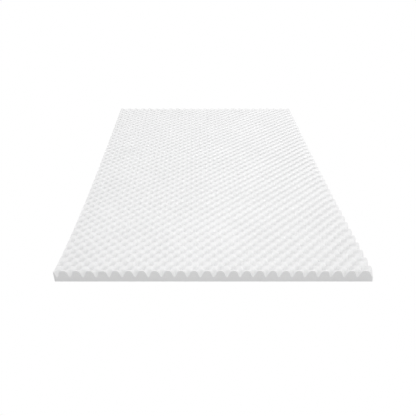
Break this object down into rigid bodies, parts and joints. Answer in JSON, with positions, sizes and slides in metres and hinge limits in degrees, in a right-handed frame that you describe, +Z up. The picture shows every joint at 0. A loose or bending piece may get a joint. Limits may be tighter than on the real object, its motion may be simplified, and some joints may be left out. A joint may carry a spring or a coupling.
{
  "type": "mattress topper",
  "caption": "Flat rectangular sheet of convoluted foam with staggered bumps on its upper face, laid over a mattress to soften it.",
  "frame": {"origin": "centre of the flat underside, on the surface that the topper lies on", "axes": "+Z up through the bumps, +Y along the bed from the front cut edge to the back one, +X across the bed"},
  "size_m": [1.372, 2.032, 0.06],
  "materials": {
    "foam": "matt white open-cell foam"
  },
  "bodies": {
    "root": {"foam_sheet": "foam"}
  },
  "joints": []
}
